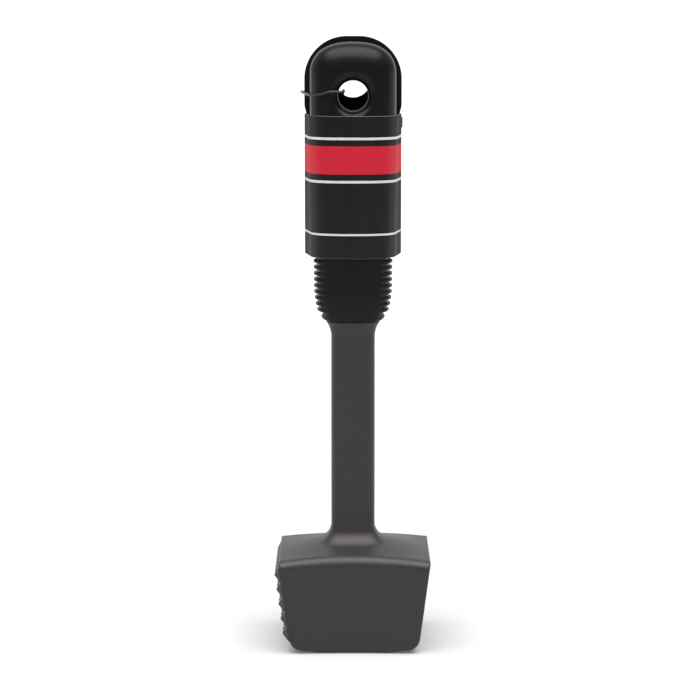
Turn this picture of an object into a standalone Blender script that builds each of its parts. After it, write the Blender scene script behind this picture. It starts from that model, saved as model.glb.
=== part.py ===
"""Meat mallet: a cast head and shaft, a pinned handle core, a soft finned grip and the card sleeve on its handle.

Metres, +Z up along the handle. The origin is the middle of the flat under the head, and -Y is the front.
"""

import math

import bmesh
import bpy
from mathutils import Matrix, Vector

MM = 0.001

# Clearance between neighbouring pieces, and how far a cut starts outside its piece
FIT_GAP = 0.3 * MM
CUT_REACH = 2.0 * MM

# Head of the casting: the toothed face is on -X and the plain one on +X
HEAD_DEPTH = 48.5 * MM
HEAD_WIDTH = 60.3 * MM
HEAD_HEIGHT = 37.2 * MM
HEAD_CROWN = 1.5 * MM
HEAD_DOME = 3.7 * MM
HEAD_WAIST = 1.6 * MM
HEAD_OFFSET = 0.6 * MM
FACE_DRAFT = math.radians(7.4)
BASE_FLAT = 26.0 * MM
BASE_RISE = 0.9 * MM
BASE_CORNER_RADIUS = 5.5 * MM
TOP_EDGE_ROUND = 4.0 * MM
BASE_EDGE_ROUND = 1.6 * MM
FACE_EDGE_ROUND = 0.9 * MM
CROWN_SHARES = (0.62, 0.3, 0.0)
DOME_SHARES = (0.72, 0.36, 0.0)

# Pyramid teeth of the toothed face
TOOTH_PITCH = 6.0 * MM
TOOTH_HEIGHT = 2.05 * MM
TOOTH_TIP = 0.5 * MM
TOOTH_SEAT = 0.15 * MM
TOOTH_ROOT = 1.0 * MM
TOOTH_MARGIN = 2.2 * MM

# Shaft of the casting, its fillet into the head and its flared collar
SHAFT_WIDTH = 17.4 * MM
SHAFT_DEPTH = 12.4 * MM
SHAFT_POWER = 4.0
FILLET_POWER = 3.0
COLLAR_POWER = 2.8
SHAFT_LENGTH = 87.9 * MM
SHAFT_FILLET = 5.5 * MM
SHAFT_SINK = 4.0 * MM
COLLAR_FLARE = 2.1 * MM
COLLAR_HEIGHT = 6.4 * MM

# Tang of the casting inside the handle, with its two cross pins
TANG_WIDTH = 9.0 * MM
TANG_DEPTH = 5.6 * MM
TANG_FOOT = 0.15 * MM
TANG_POWER = 5.0
TANG_WEB = 6.0 * MM
PIN_RADIUS = 1.5 * MM
PIN_END_DISTANCE = 17.0 * MM

# Grip
GRIP_LENGTH = 109.4 * MM
GRIP_WIDTH = 33.8 * MM
GRIP_DEPTH = 20.0 * MM
GRIP_WALL = 2.2 * MM
GRIP_CAP = 13.0 * MM
LIP_HEIGHT = 2.4 * MM
LIP_SWELL_WIDTH = 2.0 * MM
LIP_SWELL_DEPTH = 0.5 * MM
SHOULDER_HEIGHT = 15.4 * MM
SHOULDER_WIDTH = 31.3 * MM
SHOULDER_DEPTH = 19.0 * MM
TAPER_END = 72.0 * MM
OVAL_POWER = 2.4

# Soft fins on both sides of the grip
FIN_PITCH = 2.42 * MM
FIN_START = 4.2 * MM
FIN_ZONE = 38.0 * MM
FIN_TIP = 1.3 * MM
FIN_ROOT = 1.75 * MM
FIN_SLOT_DEPTH = 1.7 * MM
FIN_FADE = 0.69

# Hang hole through the grip, lined by the soft wall
HOLE_FROM_TOP = 20.7 * MM
HOLE_RADIUS = 6.1 * MM
HOLE_FILLET = 3.0 * MM
EYELET_RIM = 2.4 * MM

# Card sleeve
CARD_WIDTH = 38.6 * MM
CARD_THICKNESS = 0.5 * MM
CARD_ABOVE_HOLE = 22.7 * MM
CARD_BELOW_HOLE = 61.0 * MM
CARD_CORNER_RADIUS = 16.8 * MM
CARD_TUCK = 0.1 * MM
CARD_SHOULDER = 3.0 * MM
CARD_HOLE_RADIUS = 7.2 * MM
CARD_HOLE_RISE = 5.5 * MM
BAND_BELOW_HOLE = 7.7 * MM
BAND_HEIGHT = 55.6 * MM
BAND_THICKNESS = 0.4 * MM

# Plastic tie through the hang hole, with its lock behind the band
TIE_RADIUS = 0.5 * MM
TIE_RISE = 1.7 * MM
LOCK_LENGTH = 4.2 * MM
LOCK_HEIGHT = 4.4 * MM
LOCK_DEPTH = 2.2 * MM
LOCK_BELOW_HOLE = 11.3 * MM
LOCK_PEEK = 0.5 * MM
LOCK_ROUND = 0.5 * MM
TIE_FROM_HOLE_SIDE = 2.4 * MM

HEAD_TOP = HEAD_HEIGHT + HEAD_CROWN + HEAD_DOME
COLLAR_TOP = HEAD_TOP + SHAFT_LENGTH
GRIP_BASE = COLLAR_TOP + FIT_GAP
HOLE_HEIGHT = GRIP_LENGTH - HOLE_FROM_TOP
EYELET_BORE = HOLE_RADIUS + GRIP_WALL + FIT_GAP
CORE_TOP = HOLE_HEIGHT + EYELET_BORE + EYELET_RIM
TANG_TOP = HOLE_HEIGHT - EYELET_BORE - TANG_WEB
NECK_WIDTH = SHAFT_WIDTH + 2 * COLLAR_FLARE
NECK_DEPTH = SHAFT_DEPTH + 2 * COLLAR_FLARE
CARD_FRONT = GRIP_DEPTH / 2 + FIT_GAP
BAND_BACK = CARD_FRONT + CARD_THICKNESS + FIT_GAP


def make_material(name, colour, roughness, metallic=0.0):
    material = bpy.data.materials.new(name)
    material.use_nodes = True
    shader = material.node_tree.nodes["Principled BSDF"]
    shader.inputs["Base Color"].default_value = (*colour, 1.0)
    shader.inputs["Roughness"].default_value = roughness
    shader.inputs["Metallic"].default_value = metallic
    material.diffuse_color = (*colour, 1.0)
    return material


def add_object(name, bm, material=None, parent=None):
    bmesh.ops.recalc_face_normals(bm, faces=bm.faces)
    if bm.calc_volume(signed=True) < 0:
        bmesh.ops.reverse_faces(bm, faces=bm.faces)
    mesh = bpy.data.meshes.new(name)
    bm.to_mesh(mesh)
    bm.free()
    obj = bpy.data.objects.new(name, mesh)
    bpy.context.scene.collection.objects.link(obj)
    obj.parent = parent
    if material:
        mesh.materials.append(material)
    return obj


def add_guide(name, bm, parent=None):
    guide = add_object(name, bm, parent=parent)
    guide.hide_render = True
    guide.display_type = "WIRE"
    return guide


def add_boolean(obj, other, operation):
    modifier = obj.modifiers.new(other.name, "BOOLEAN")
    modifier.operation = operation
    modifier.solver = "EXACT"
    modifier.object = other


def add_empty(name, height):
    empty = bpy.data.objects.new(name, None)
    empty.empty_display_size = 0.01
    empty.location.z = height
    bpy.context.scene.collection.objects.link(empty)
    return empty


def oval_ring(half_width, half_depth, height, power=2.0, count=32):
    points = []
    for step in range(count):
        angle = 2 * math.pi * (step + 0.5) / count
        cosine = math.cos(angle)
        sine = math.sin(angle)
        x = math.copysign(half_width * abs(cosine) ** (2 / power), cosine)
        y = math.copysign(half_depth * abs(sine) ** (2 / power), sine)
        points.append(Vector((x, y, height)))
    return points


def loft(rings):
    """Closed body through rings of equal count, capped at both ends."""
    bm = bmesh.new()
    loops = []
    for ring in rings:
        verts = [bm.verts.new(point) for point in ring]
        edges = [bm.edges.new((a, b)) for a, b in zip(verts, verts[1:] + verts[:1])]
        loops.append(edges)
    for lower, upper in zip(loops, loops[1:]):
        bmesh.ops.bridge_loops(bm, edges=lower + upper)
    for end in (loops[0], loops[-1]):
        bmesh.ops.edgeloop_fill(bm, edges=end)
    return bm


def cylinder(radius, length, segments, axis_turn):
    bm = bmesh.new()
    bmesh.ops.create_cone(
        bm,
        cap_ends=True,
        segments=segments,
        radius1=radius,
        radius2=radius,
        depth=length,
        matrix=axis_turn,
    )
    return bm


def extruded_outline(outline, depth):
    """Flat outline of X and Z pairs, thickened from Y = 0 to Y = depth."""
    bm = bmesh.new()
    face = bm.faces.new([bm.verts.new((x, 0.0, z)) for x, z in outline])
    swept = bmesh.ops.extrude_face_region(bm, geom=[face])
    moved = [item for item in swept["geom"] if isinstance(item, bmesh.types.BMVert)]
    bmesh.ops.translate(bm, verts=moved, vec=(0.0, depth, 0.0))
    return bm


def arc(centre_x, centre_z, radius, start, stop, steps):
    points = []
    for step in range(steps + 1):
        angle = math.radians(start + (stop - start) * step / steps)
        points.append((centre_x + radius * math.cos(angle), centre_z + radius * math.sin(angle)))
    return points


def top_height(x, y):
    """Height of the head's domed top."""
    bow = 1 - ((x - HEAD_OFFSET) / (HEAD_WIDTH / 2)) ** 2
    dome = (1 - (y / (HEAD_DEPTH / 2 - HEAD_WAIST * bow)) ** 2) ** 2
    return HEAD_HEIGHT + (HEAD_CROWN + HEAD_DOME * dome) * bow


def head_side_outline():
    """Plain half of the head's front outline, from the middle of the base to the middle of the crown."""
    lean = math.degrees(FACE_DRAFT)
    radius = BASE_CORNER_RADIUS
    foot = HEAD_WIDTH / 2 - HEAD_HEIGHT * math.tan(FACE_DRAFT)
    centre_z = BASE_RISE + radius
    centre_x = foot + centre_z * math.tan(FACE_DRAFT) - radius / math.cos(FACE_DRAFT)
    outline = [(0.0, 0.0), (BASE_FLAT / 2, 0.0)]
    outline += arc(centre_x, centre_z, radius, -80, -lean, 5)
    for share in (1.0, *CROWN_SHARES):
        outline.append((share * HEAD_WIDTH / 2, HEAD_HEIGHT + HEAD_CROWN * (1 - share**2)))
    return outline


def edge_round(edge):
    """Rounding of an edge of the plain head block."""
    first, second = (vert.co for vert in edge.verts)
    reach = abs(first.x + second.x - 2 * HEAD_OFFSET) / HEAD_WIDTH
    at_face = reach > 1 - 2 * HEAD_HEIGHT * math.tan(FACE_DRAFT) / HEAD_WIDTH
    at_top = min(first.z, second.z) > HEAD_HEIGHT - 0.01 * MM
    if abs(first.y - second.y) > abs(first.x - second.x) + abs(first.z - second.z):
        return FACE_EDGE_ROUND if at_top and reach > 0.98 else 0.0
    if abs(first.y) < HEAD_DEPTH / 2 - 2 * HEAD_WAIST:
        return 0.0
    if at_top:
        return TOP_EDGE_ROUND * math.tan(edge.calc_face_angle() / 2)
    if at_face and abs(first.z - second.z) > HEAD_HEIGHT / 2:
        return FACE_EDGE_ROUND
    if max(first.z, second.z) < HEAD_HEIGHT / 2:
        return BASE_EDGE_ROUND
    return 0.0


def cut_across(bm, faces, axis, place):
    """Splits the faces along the plane at a place on an axis."""
    normal = Vector((axis == "X", axis == "Y", 0.0))
    geometry = {item for face in faces for item in (face, *face.edges, *face.verts)}
    bmesh.ops.bisect_plane(bm, geom=list(geometry), dist=1e-6, plane_co=place * normal, plane_no=normal)


def build_head_block():
    half = head_side_outline()
    mirrored = [(-x, z) for x, z in reversed(half[1:-1])]
    bm = extruded_outline(half + mirrored, HEAD_DEPTH)
    bmesh.ops.translate(bm, verts=bm.verts, vec=(0.0, -HEAD_DEPTH / 2, 0.0))
    for side in (-1, 1):
        for share in CROWN_SHARES:
            cut_across(bm, bm.faces, "X", side * share * HEAD_WIDTH / 2)
        for share in DOME_SHARES:
            top = [face for face in bm.faces if face.calc_center_median().z > HEAD_HEIGHT]
            cut_across(bm, top, "Y", side * share * HEAD_DEPTH / 2)
    for vert in bm.verts:
        bow = max(0.0, 1 - (vert.co.x / (HEAD_WIDTH / 2)) ** 2)
        vert.co.x += HEAD_OFFSET
        vert.co.y *= 1 - bow * HEAD_WAIST / (HEAD_DEPTH / 2)
        if vert.co.z > HEAD_HEIGHT:
            vert.co.z = top_height(vert.co.x, vert.co.y)
    weight = bm.edges.layers.float.new("bevel_weight_edge")
    for edge in bm.edges:
        edge[weight] = edge_round(edge) / TOP_EDGE_ROUND
    return bm


def build_teeth():
    """Tooth field in its own frame: X along the depth, Y up the face and Z out of it."""
    columns = int(HEAD_DEPTH / TOOTH_PITCH)
    slope = (HEAD_HEIGHT - BASE_RISE) / math.cos(FACE_DRAFT)
    rows = int((slope - TOOTH_MARGIN - BASE_CORNER_RADIUS / 2) / TOOTH_PITCH)
    bm = bmesh.new()
    bmesh.ops.create_grid(
        bm,
        x_segments=columns,
        y_segments=rows,
        size=0.5,
        matrix=Matrix.Diagonal((columns * TOOTH_PITCH, rows * TOOTH_PITCH, 1.0, 1.0)),
    )
    bmesh.ops.inset_individual(
        bm,
        faces=bm.faces[:],
        thickness=(TOOTH_PITCH - TOOTH_TIP) / 2,
        depth=TOOTH_HEIGHT,
        use_even_offset=True,
    )
    rim = [edge for edge in bm.edges if edge.is_boundary]
    skirt = bmesh.ops.extrude_edge_only(bm, edges=rim)["geom"]
    lowered = [item for item in skirt if isinstance(item, bmesh.types.BMVert)]
    bmesh.ops.translate(bm, verts=lowered, vec=(0.0, 0.0, -TOOTH_SEAT - TOOTH_ROOT))
    bmesh.ops.contextual_create(bm, geom=[edge for edge in bm.edges if edge.is_boundary])
    middle = HEAD_HEIGHT / math.cos(FACE_DRAFT) - TOOTH_MARGIN - rows * TOOTH_PITCH / 2
    foot = HEAD_OFFSET - HEAD_WIDTH / 2 + HEAD_HEIGHT * math.tan(FACE_DRAFT)
    out = Vector((-math.cos(FACE_DRAFT), 0.0, -math.sin(FACE_DRAFT)))
    up = Vector((-math.sin(FACE_DRAFT), 0.0, math.cos(FACE_DRAFT)))
    place = Matrix((up.cross(out), up, out)).transposed().to_4x4()
    place.translation = Vector((foot, 0.0, 0.0)) + middle * up + TOOTH_SEAT * out
    bmesh.ops.transform(bm, matrix=place, verts=bm.verts)
    return bm


def shaft_rings():
    half_width = SHAFT_WIDTH / 2
    half_depth = SHAFT_DEPTH / 2
    rings = []
    for degrees in (82, 82, 68, 52, 36, 18, 0):
        turn = math.radians(degrees)
        opening = 1 - math.cos(turn)
        spread = SHAFT_FILLET * opening
        height = HEAD_TOP + SHAFT_FILLET * (1 - math.sin(turn))
        sunk = 0.0 if rings else SHAFT_SINK
        power = SHAFT_POWER + (FILLET_POWER - SHAFT_POWER) * opening
        ring = oval_ring(half_width + spread, half_depth + spread, height - sunk, power, 28)
        for point in ring:
            point.z -= (HEAD_TOP - top_height(point.x, point.y)) * degrees / 90
        rings.append(ring)
    collar_start = COLLAR_TOP - COLLAR_HEIGHT
    for share in (0.0, 0.35, 0.62, 0.84, 1.0):
        spread = COLLAR_FLARE * share**2.2
        height = collar_start + COLLAR_HEIGHT * share
        power = SHAFT_POWER + (COLLAR_POWER - SHAFT_POWER) * share
        rings.append(oval_ring(half_width + spread, half_depth + spread, height, power, 28))
    for height in (COLLAR_TOP + TANG_FOOT, GRIP_BASE + TANG_TOP):
        rings.append(oval_ring(TANG_WIDTH / 2, TANG_DEPTH / 2, height, TANG_POWER, 28))
    return rings


def pin_heights():
    lower = GRIP_BASE + PIN_END_DISTANCE
    upper = GRIP_BASE + TANG_TOP - PIN_END_DISTANCE
    return {"tang_pin_lower": lower, "tang_pin_upper": upper}


def grip_half_size(height, neck, swell, shoulder, full):
    """Half width or half depth of the grip at a height above its base, fins counted as solid."""
    lip = neck + swell
    if height < LIP_HEIGHT:
        share = 1 - height / LIP_HEIGHT
        return neck + swell * math.sqrt(1 - share**2)
    if height < SHOULDER_HEIGHT:
        share = (SHOULDER_HEIGHT - height) / (SHOULDER_HEIGHT - LIP_HEIGHT)
        return lip + (shoulder - lip) * math.sqrt(1 - share**2)
    if height < TAPER_END:
        share = (height - SHOULDER_HEIGHT) / (TAPER_END - SHOULDER_HEIGHT)
        return shoulder + (full - shoulder) * share**2 * (3 - 2 * share)
    if height < GRIP_LENGTH - GRIP_CAP:
        return full
    share = min(1.0, (height - GRIP_LENGTH + GRIP_CAP) / GRIP_CAP)
    return full * (1 - share**OVAL_POWER) ** (1 / OVAL_POWER)


def grip_half_width(height):
    return grip_half_size(height, NECK_WIDTH / 2, LIP_SWELL_WIDTH, SHOULDER_WIDTH / 2, GRIP_WIDTH / 2)


def grip_half_depth(height):
    return grip_half_size(height, NECK_DEPTH / 2, LIP_SWELL_DEPTH, SHOULDER_DEPTH / 2, GRIP_DEPTH / 2)


def grip_ring(height, slotted=False):
    half_width = grip_half_width(height)
    ring = oval_ring(half_width, grip_half_depth(height), height, OVAL_POWER)
    if slotted:
        fade = FIN_FADE * half_width
        squeeze = 1 - FIN_SLOT_DEPTH / (half_width - fade)
        for point in ring:
            if abs(point.x) > fade:
                point.x = math.copysign(fade + (abs(point.x) - fade) * squeeze, point.x)
    return ring


def build_grip():
    rings = [grip_ring(LIP_HEIGHT * share) for share in (0.0, 0.12, 0.4, 0.92)]
    count = int(FIN_ZONE / FIN_PITCH)
    slot_half = (FIN_PITCH - FIN_ROOT) / 2
    for fin in range(count):
        height = FIN_START + fin * FIN_PITCH
        slot = height - FIN_PITCH / 2
        rings.append(grip_ring(slot - slot_half, slotted=True))
        rings.append(grip_ring(slot + slot_half, slotted=True))
        rings.append(grip_ring(height - FIN_TIP / 2))
        rings.append(grip_ring(height + FIN_TIP / 2))
    fin_end = FIN_START + count * FIN_PITCH
    straight_end = GRIP_LENGTH - GRIP_CAP
    for share in (0.1, 0.4, 0.7, 1.0):
        rings.append(grip_ring(fin_end + (straight_end - fin_end) * share))
    for degrees in (18, 34, 49, 62, 73, 82, 88.5):
        rings.append(grip_ring(straight_end + GRIP_CAP * math.sin(math.radians(degrees))))
    return loft(rings)


def build_core(grow, base):
    """Handle core, grown all round by the fit gap where it cuts its seat in the grip."""
    side_wall = GRIP_WALL + FIN_SLOT_DEPTH
    rings = []
    for height in (base, LIP_HEIGHT, SHOULDER_HEIGHT / 2, SHOULDER_HEIGHT, TAPER_END, CORE_TOP + grow):
        level = max(height, FIT_GAP)
        half_width = grip_half_width(level) - side_wall + grow
        half_depth = grip_half_depth(level) - GRIP_WALL + grow
        rings.append(oval_ring(half_width, half_depth, height, OVAL_POWER, 24))
    return loft(rings)


def build_hole_cutter():
    """Turned hole with filleted mouths, bent to follow the oval front and back of the grip."""
    edge = GRIP_DEPTH / 2
    profile = [(0.0, -2 * edge), (HOLE_RADIUS + HOLE_FILLET, -2 * edge)]
    for degrees in (90, 65, 42, 20, 0):
        turn = math.radians(degrees)
        radius = HOLE_RADIUS + HOLE_FILLET * (1 - math.cos(turn))
        profile.append((radius, -edge + HOLE_FILLET * (1 - math.sin(turn))))
    profile += [(radius, -y) for radius, y in reversed(profile)]
    bm = bmesh.new()
    verts = [bm.verts.new((radius, y, 0.0)) for radius, y in profile]
    edges = [bm.edges.new(pair) for pair in zip(verts, verts[1:])]
    bmesh.ops.spin(
        bm,
        geom=verts + edges,
        cent=(0.0, 0.0, 0.0),
        axis=(0.0, 1.0, 0.0),
        angle=2 * math.pi,
        steps=28,
        use_merge=True,
    )
    bmesh.ops.remove_doubles(bm, verts=bm.verts, dist=1e-6)
    for vert in bm.verts:
        share = min(0.9, abs(vert.co.x) / (GRIP_WIDTH / 2))
        vert.co.y *= (1 - share**OVAL_POWER) ** (1 / OVAL_POWER)
    bmesh.ops.translate(bm, verts=bm.verts, vec=(0.0, 0.0, HOLE_HEIGHT))
    return bm


def build_card():
    """Card in the sleeve's frame, whose origin is the centre of the hang hole."""
    half = CARD_WIDTH / 2
    tucked = half - CARD_TUCK - BAND_THICKNESS - FIT_GAP
    top = CARD_ABOVE_HOLE - CARD_CORNER_RADIUS
    outline = [(tucked, -CARD_BELOW_HOLE), (tucked, -BAND_BELOW_HOLE)]
    outline.append((half - CARD_TUCK / 2, -BAND_BELOW_HOLE + CARD_SHOULDER))
    outline += arc(half - CARD_CORNER_RADIUS, top, CARD_CORNER_RADIUS, 0, 90, 8)
    outline += [(-x, z) for x, z in reversed(outline)]
    bm = extruded_outline(outline, CARD_THICKNESS)
    bmesh.ops.translate(bm, verts=bm.verts, vec=(0.0, CARD_FRONT, 0.0))
    return bm


def taut_loop(points):
    """Points that a band pulled tight round all of them touches, in order."""
    ordered = sorted(set(points))
    chains = []
    for run in (ordered, ordered[::-1]):
        chain = []
        for point in run:
            while len(chain) > 1:
                (ax, ay), (bx, by) = chain[-2:]
                if (bx - ax) * (point[1] - ay) - (by - ay) * (point[0] - ax) > 0:
                    break
                chain.pop()
            chain.append(point)
        chains += chain[:-1]
    return chains


def build_band():
    half = CARD_WIDTH / 2 - CARD_TUCK - BAND_THICKNESS
    oval = oval_ring(GRIP_WIDTH / 2 + FIT_GAP, GRIP_DEPTH / 2 + FIT_GAP, 0.0, OVAL_POWER, 40)
    points = [(point.x, point.y) for point in oval if point.y < 0]
    points += [(side * half, y) for side in (-1, 1) for y in (CARD_FRONT, BAND_BACK)]
    bm = bmesh.new()
    verts = [bm.verts.new((x, y, -BAND_BELOW_HOLE - BAND_HEIGHT)) for x, y in taut_loop(points)]
    face = bm.faces.new(verts)
    rim = face.edges[:]
    swept = bmesh.ops.extrude_edge_only(bm, edges=rim)
    raised = [item for item in swept["geom"] if isinstance(item, bmesh.types.BMVert)]
    bmesh.ops.translate(bm, verts=raised, vec=(0.0, 0.0, BAND_HEIGHT))
    bmesh.ops.delete(bm, geom=[face], context="FACES_ONLY")
    return bm


def tie_route():
    """Centre line of the tie in the sleeve's frame, from its lock round the card's edge and back to the lock."""
    off = TIE_RADIUS + FIT_GAP
    back = BAND_BACK + BAND_THICKNESS + off
    edge = -CARD_WIDTH / 2 - off
    lane = TIE_FROM_HOLE_SIDE - HOLE_RADIUS
    lock = lock_centre()
    near_lock = lock.x - LOCK_LENGTH / 2 - FIT_GAP
    card_middle = CARD_FRONT + CARD_THICKNESS / 2
    route = [(near_lock, back, lock.z - 1.2 * MM)]
    route.append((0.35 * near_lock, back, lock.z + 2.2 * MM))
    route.append((0.5 * edge, back, -3.0 * MM))
    route.append((edge + 2.2 * MM, back - 0.2 * MM, 0.4 * MM))
    route.append((edge + 0.2 * MM, card_middle + 1.3 * off, 0.75 * MM))
    route.append((edge - 0.1 * MM, card_middle - off, 0.8 * MM))
    for share in (0.99, 0.9, 0.7, 0.5):
        x = -share * (GRIP_WIDTH / 2 + off)
        y = -(GRIP_DEPTH / 2 + off) * (1 - share**OVAL_POWER) ** (1 / OVAL_POWER)
        route.append((x, y, (0.3 + 1.4 * (1 - share) ** 2 / 0.25) * MM))
    mouth = -(GRIP_DEPTH / 2)
    route.append((lane - 0.9 * MM, mouth - 0.2 * MM, TIE_RISE))
    route.append((lane, mouth + 1.8 * MM, TIE_RISE))
    route.append((lane, 0.0, TIE_RISE))
    route.append((lane, CARD_FRONT - 1.0 * MM, TIE_RISE - 0.2 * MM))
    route.append((lane - 0.2 * MM, CARD_FRONT + 1.0 * MM, TIE_RISE - 0.9 * MM))
    route.append((lane + 0.6 * MM, back, -3.0 * MM))
    route.append((0.45 * near_lock, back, lock.z + 5.6 * MM))
    route.append((near_lock, back, lock.z + 1.2 * MM))
    return [Vector(point) for point in route]


def lock_centre():
    band_side = CARD_WIDTH / 2 - CARD_TUCK
    x = band_side + LOCK_PEEK - LOCK_LENGTH / 2
    y = BAND_BACK + BAND_THICKNESS + FIT_GAP + LOCK_DEPTH / 2
    return Vector((x, y, -LOCK_BELOW_HOLE))


def smooth_route(points, steps):
    """Catmull-Rom samples through the points."""
    padded = [2 * points[0] - points[1]] + points + [2 * points[-1] - points[-2]]
    samples = []
    for p0, p1, p2, p3 in zip(padded, padded[1:], padded[2:], padded[3:]):
        for step in range(steps):
            t = step / steps
            ease = 2 * p1 + (p2 - p0) * t + (2 * p0 - 5 * p1 + 4 * p2 - p3) * t**2
            samples.append((ease + (3 * p1 - p0 - 3 * p2 + p3) * t**3) / 2)
    samples.append(points[-1])
    return samples


def build_casting(material, parent):
    casting = add_object("head_casting", build_head_block(), material, parent)
    rounding = casting.modifiers.new("edge_round", "BEVEL")
    rounding.limit_method = "WEIGHT"
    rounding.width = TOP_EDGE_ROUND
    rounding.segments = 3
    rounding.use_clamp_overlap = False
    add_boolean(casting, add_guide("teeth_guide", build_teeth(), parent), "UNION")
    add_boolean(casting, add_guide("shaft_guide", loft(shaft_rings()), parent), "UNION")
    return casting


def build_pins(casting, core, material, parent):
    across = Matrix.Rotation(math.pi / 2, 4, "X")
    for name, height in pin_heights().items():
        half_depth = grip_half_depth(height - GRIP_BASE) - GRIP_WALL
        pin = add_object(name, cylinder(PIN_RADIUS, 2 * half_depth - 2 * FIT_GAP, 16, across), material, parent)
        pin.location.z = height
        hole = add_guide(name + "_hole", cylinder(PIN_RADIUS + FIT_GAP, GRIP_DEPTH, 16, across), parent)
        hole.location.z = height
        add_boolean(casting, hole, "DIFFERENCE")
        add_boolean(core, hole, "DIFFERENCE")


def build_handle(materials, parent):
    seat = add_guide("core_seat", build_core(FIT_GAP, -CUT_REACH), parent)
    bore = cylinder(HOLE_RADIUS + GRIP_WALL, 2 * GRIP_DEPTH, 28, Matrix.Rotation(math.pi / 2, 4, "X"))
    lining = add_guide("hole_lining", bore, parent)
    add_boolean(seat, lining, "DIFFERENCE")
    grip = add_object("grip", build_grip(), materials["grip"], parent)
    add_boolean(grip, seat, "DIFFERENCE")
    add_boolean(grip, add_guide("hang_hole", build_hole_cutter(), parent), "DIFFERENCE")
    core = add_object("handle_core", build_core(0.0, 0.0), materials["core"], parent)
    socket_rings = [
        oval_ring(TANG_WIDTH / 2 + FIT_GAP, TANG_DEPTH / 2 + FIT_GAP, height, TANG_POWER, 28)
        for height in (-CUT_REACH, TANG_TOP + FIT_GAP)
    ]
    add_boolean(core, add_guide("tang_socket", loft(socket_rings), parent), "DIFFERENCE")
    bore = cylinder(EYELET_BORE, 2 * GRIP_DEPTH, 28, Matrix.Rotation(math.pi / 2, 4, "X"))
    eyelet = add_guide("eyelet_bore", bore, parent)
    add_boolean(core, eyelet, "DIFFERENCE")
    for obj in (seat, grip, core, bpy.data.objects["tang_socket"], bpy.data.objects["hang_hole"]):
        obj.location.z = GRIP_BASE
    for obj in (lining, eyelet):
        obj.location.z = GRIP_BASE + HOLE_HEIGHT
    return core


def build_sleeve(materials, parent):
    card = add_object("backing_card", build_card(), materials["card"], parent)
    punch_turn = Matrix.Rotation(math.pi / 2, 4, "X")
    punch = add_guide("card_punch", cylinder(CARD_HOLE_RADIUS, 3 * GRIP_DEPTH, 32, punch_turn), parent)
    punch.location.z = CARD_HOLE_RISE
    add_boolean(card, punch, "DIFFERENCE")
    band = add_object("wrap_band", build_band(), materials["band"], parent)
    board = band.modifiers.new("board", "SOLIDIFY")
    board.thickness = BAND_THICKNESS
    board.offset = 1.0
    board.use_even_offset = True
    build_tie(materials["tie"], parent)


def build_tie(material, parent):
    curve = bpy.data.curves.new("tie_loop", "CURVE")
    curve.dimensions = "3D"
    curve.bevel_depth = TIE_RADIUS
    curve.bevel_resolution = 1
    curve.use_fill_caps = True
    samples = smooth_route(tie_route(), 3)
    spline = curve.splines.new("POLY")
    spline.points.add(len(samples) - 1)
    for point, sample in zip(spline.points, samples):
        point.co = (*sample, 1.0)
    curve.materials.append(material)
    tie = bpy.data.objects.new("tie_loop", curve)
    bpy.context.scene.collection.objects.link(tie)
    tie.parent = parent
    bm = bmesh.new()
    bmesh.ops.create_cube(bm, size=1.0, matrix=Matrix.Diagonal((LOCK_LENGTH, LOCK_DEPTH, LOCK_HEIGHT, 1.0)))
    bmesh.ops.bevel(bm, geom=bm.edges[:], offset=LOCK_ROUND, segments=2, affect="EDGES", profile=0.5, material=-1)
    lock = add_object("tie_lock", bm, material, parent)
    lock.location = lock_centre()


def build():
    for obj in list(bpy.data.objects):
        bpy.data.objects.remove(obj)
    casting_coat = make_material("casting_coat", (0.055, 0.052, 0.053), 0.42, 0.3)
    core_plastic = make_material("core_plastic", (0.12, 0.12, 0.13), 0.6)
    pin_steel = make_material("pin_steel", (0.55, 0.55, 0.56), 0.3, 1.0)
    handle_materials = {"grip": make_material("grip_rubber", (0.012, 0.012, 0.012), 0.55), "core": core_plastic}
    sleeve_materials = {
        "card": make_material("card_board", (0.006, 0.006, 0.006), 0.6),
        "band": make_material("band_print", (0.012, 0.012, 0.013), 0.25),
        "tie": make_material("tie_plastic", (0.01, 0.01, 0.01), 0.4),
    }
    mallet = add_empty("mallet", 0.0)
    casting = build_casting(casting_coat, mallet)
    core = build_handle(handle_materials, mallet)
    build_pins(casting, core, pin_steel, mallet)
    build_sleeve(sleeve_materials, add_empty("sleeve_axis", GRIP_BASE + HOLE_HEIGHT))


build()
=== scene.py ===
"""Dressed meat mallet: cast head and shaft, finned rubber grip, and the card sleeve tied to its handle.

Metres, +Z up, -Y to the front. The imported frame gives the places, and each operator models one piece on it.
"""

import math

import bmesh
import bpy
from mathutils import Matrix, Vector


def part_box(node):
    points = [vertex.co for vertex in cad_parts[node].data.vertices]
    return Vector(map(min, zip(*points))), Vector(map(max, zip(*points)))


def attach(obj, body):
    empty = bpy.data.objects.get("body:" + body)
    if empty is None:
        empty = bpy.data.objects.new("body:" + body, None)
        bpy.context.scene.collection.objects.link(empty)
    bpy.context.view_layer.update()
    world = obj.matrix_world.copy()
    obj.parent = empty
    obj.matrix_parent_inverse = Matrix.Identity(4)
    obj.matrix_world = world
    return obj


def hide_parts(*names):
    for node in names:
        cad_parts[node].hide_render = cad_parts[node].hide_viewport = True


bl_info = {
    "name": "Meat Mallet",
    "version": (1, 0, 0),
    "blender": (4, 5, 0),
    "location": "View3D > Sidebar > Mallet",
    "description": "Models a cast meat mallet with a finned grip and its card sleeve",
    "category": "Add Mesh",
}

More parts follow.
